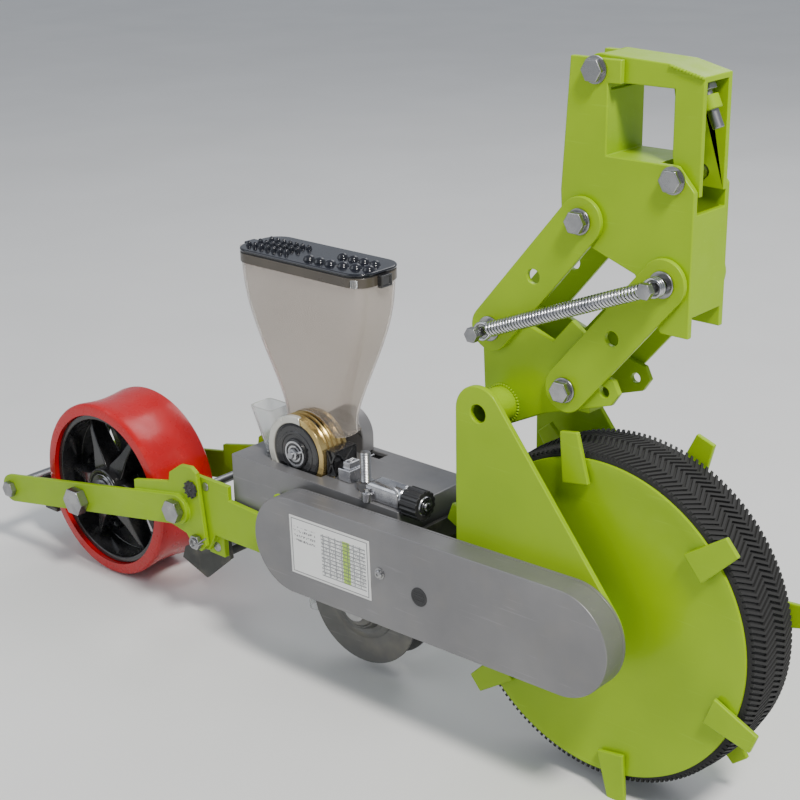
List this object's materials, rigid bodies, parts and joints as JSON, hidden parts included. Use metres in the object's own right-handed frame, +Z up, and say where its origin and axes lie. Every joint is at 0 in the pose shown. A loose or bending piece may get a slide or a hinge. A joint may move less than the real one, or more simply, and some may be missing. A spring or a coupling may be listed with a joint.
{
  "type": "row planter unit",
  "caption": "Toolbar-mounted single-row seed planter unit with parallel linkage, ground-drive wheel, chain case, seed meter, hopper, disc opener, coverer and press wheel.",
  "frame": {"origin": "centre of the square toolbar opening in the bracket", "axes": "+X forward in the direction of travel, +Y to the machine's left along the toolbar, +Z up"},
  "size_m": [1.0859, 0.198, 0.7079],
  "materials": {
    "green_paint": "gloss lime-green paint",
    "zinc": "bright zinc plating",
    "silver_paint": "satin silver-grey paint",
    "bare_steel": "machined steel",
    "cast": "shiny casting",
    "tyre_rubber": "black ribbed rubber",
    "red_tread": "glossy red polyurethane",
    "black_plastic": "black moulding",
    "smoke": "smoky translucent moulding",
    "lid": "dark glossy moulding",
    "clear": "translucent moulding",
    "brass_colour": "ribbed brass-coloured shell",
    "dark_steel": "black paint",
    "spring_steel": "bright spring wire"
  },
  "bodies": {
    "frame": {"linkage_base": "green_paint", "cross_tube": "green_paint", "side_plate_right": "green_paint", "side_plate_left": "green_paint", "front_cross_plate": "dark_steel", "frame_pins": "zinc", "linkage_base_bolts": "zinc", "linkage_base_nuts": "zinc", "linkage_base_spacers": "zinc", "frame_bearings": "zinc", "chain_case_plate": "silver_paint", "chain_case_cover": "silver_paint", "chain_case_screw": "zinc", "drive_chain": "bare_steel", "meter_base": "silver_paint", "gear_cover": "silver_paint", "meter_housing": "brass_colour", "brush_block": "black_plastic", "cleanout_spout": "clear", "hopper": "smoke", "deck_fittings": "cast", "opener_frame": "green_paint", "opener_stubs": "zinc", "seed_tube": "clear", "arm_pivot_bolts": "zinc", "down_spring": "spring_steel"},
    "drive_wheel": {"drive_axle": "bare_steel", "wheel_core": "green_paint", "wheel_discs": "green_paint", "drive_tyre": "tyre_rubber", "drive_cleats": "green_paint", "front_sprocket": "bare_steel"},
    "meter_drive": {"driven_shaft": "bare_steel", "rear_sprocket": "bare_steel", "driven_gear": "bare_steel"},
    "idler": {"idler_gear": "bare_steel"},
    "seed_roller": {"metering_roller": "black_plastic", "roller_shaft": "bare_steel", "roller_gear": "bare_steel"},
    "press_arms": {"press_arms": "green_paint", "press_axle": "zinc", "arm_clamp_bolts": "zinc", "tail_bar": "green_paint", "scraper": "dark_steel"},
    "press_wheel": {"press_wheel_core": "black_plastic", "press_tread": "red_tread", "press_bearings": "zinc"},
    "lower_arms": {"lower_arms": "green_paint"},
    "upper_arms": {"upper_arms": "green_paint"},
    "bracket": {"toolbar_bracket": "green_paint", "clamp_strap": "green_paint", "bracket_bolts": "zinc", "bracket_nuts": "zinc", "bracket_spacers": "zinc"},
    "lid": {"hopper_lid": "lid"},
    "knob": {"adjust_knob": "black_plastic"},
    "opener_disc_right": {"opener_disc_right": "bare_steel"},
    "opener_disc_left": {"opener_disc_left": "bare_steel"},
    "coverer": {"coverer": "dark_steel"}
  },
  "joints": [
    {"name": "drive_wheel_spin", "type": "hinge", "parent": "frame", "child": "drive_wheel", "pos_m": [-0.022, 0, -0.469], "axis": [0, 1, 0], "continuous": true, "deforming": ["drive_chain"]},
    {"name": "driven_shaft_spin", "type": "hinge", "parent": "frame", "child": "meter_drive", "pos_m": [-0.37115, 0, -0.4775], "axis": [0, 1, 0], "continuous": true},
    {"name": "idler_spin", "type": "hinge", "parent": "frame", "child": "idler", "pos_m": [-0.39301, 0.042, -0.43932], "axis": [0, 1, 0], "continuous": true},
    {"name": "metering_roller_spin", "type": "hinge", "parent": "frame", "child": "seed_roller", "pos_m": [-0.41488, 0, -0.40114], "axis": [0, 1, 0], "continuous": true},
    {"name": "lower_arm_swing", "type": "hinge", "parent": "frame", "child": "lower_arms", "pos_m": [-0.066, 0, -0.25], "axis": [0, 1, 0], "range_deg": [-20, 25], "deforming": ["down_spring"]},
    {"name": "upper_arm_swing", "type": "hinge", "parent": "frame", "child": "upper_arms", "pos_m": [-0.153, 0, -0.2085], "axis": [0, 1, 0], "range_deg": [-20, 25]},
    {"name": "bracket_pivot", "type": "hinge", "parent": "lower_arms", "child": "bracket", "pos_m": [0.034, 0, -0.132], "axis": [0, 1, 0], "range_deg": [-25, 20]},
    {"name": "press_arm_swing", "type": "hinge", "parent": "frame", "child": "press_arms", "pos_m": [-0.548, 0, -0.534], "axis": [0, 1, 0], "range_deg": [-8, 12]},
    {"name": "press_wheel_spin", "type": "hinge", "parent": "press_arms", "child": "press_wheel", "pos_m": [-0.76, 0, -0.54], "axis": [0, 1, 0], "continuous": true},
    {"name": "lid_swing", "type": "hinge", "parent": "frame", "child": "lid", "pos_m": [-0.51288, 0, -0.1945], "axis": [0, -1, 0], "range_deg": [0, 110]},
    {"name": "knob_turn", "type": "hinge", "parent": "frame", "child": "knob", "pos_m": [-0.28, -0.042, -0.41], "axis": [1, 0, 0], "continuous": true},
    {"name": "opener_disc_right_spin", "type": "hinge", "parent": "frame", "child": "opener_disc_right", "pos_m": [-0.34, -0.018, -0.566], "axis": [-0.0872, 0.9962, 0], "continuous": true},
    {"name": "opener_disc_left_spin", "type": "hinge", "parent": "frame", "child": "opener_disc_left", "pos_m": [-0.34, 0.018, -0.566], "axis": [0.0872, 0.9962, 0], "continuous": true},
    {"name": "coverer_swing", "type": "hinge", "parent": "frame", "child": "coverer", "pos_m": [-0.531, 0, -0.541], "axis": [0, 1, 0], "range_deg": [0, 20]}
  ],
  "couplings": [
    {"joint": "driven_shaft_spin", "follows": "drive_wheel_spin", "ratio": 1},
    {"joint": "idler_spin", "follows": "drive_wheel_spin", "ratio": -1.2},
    {"joint": "metering_roller_spin", "follows": "drive_wheel_spin", "ratio": 1},
    {"joint": "upper_arm_swing", "follows": "lower_arm_swing", "ratio": 1},
    {"joint": "bracket_pivot", "follows": "lower_arm_swing", "ratio": -1}
  ]
}
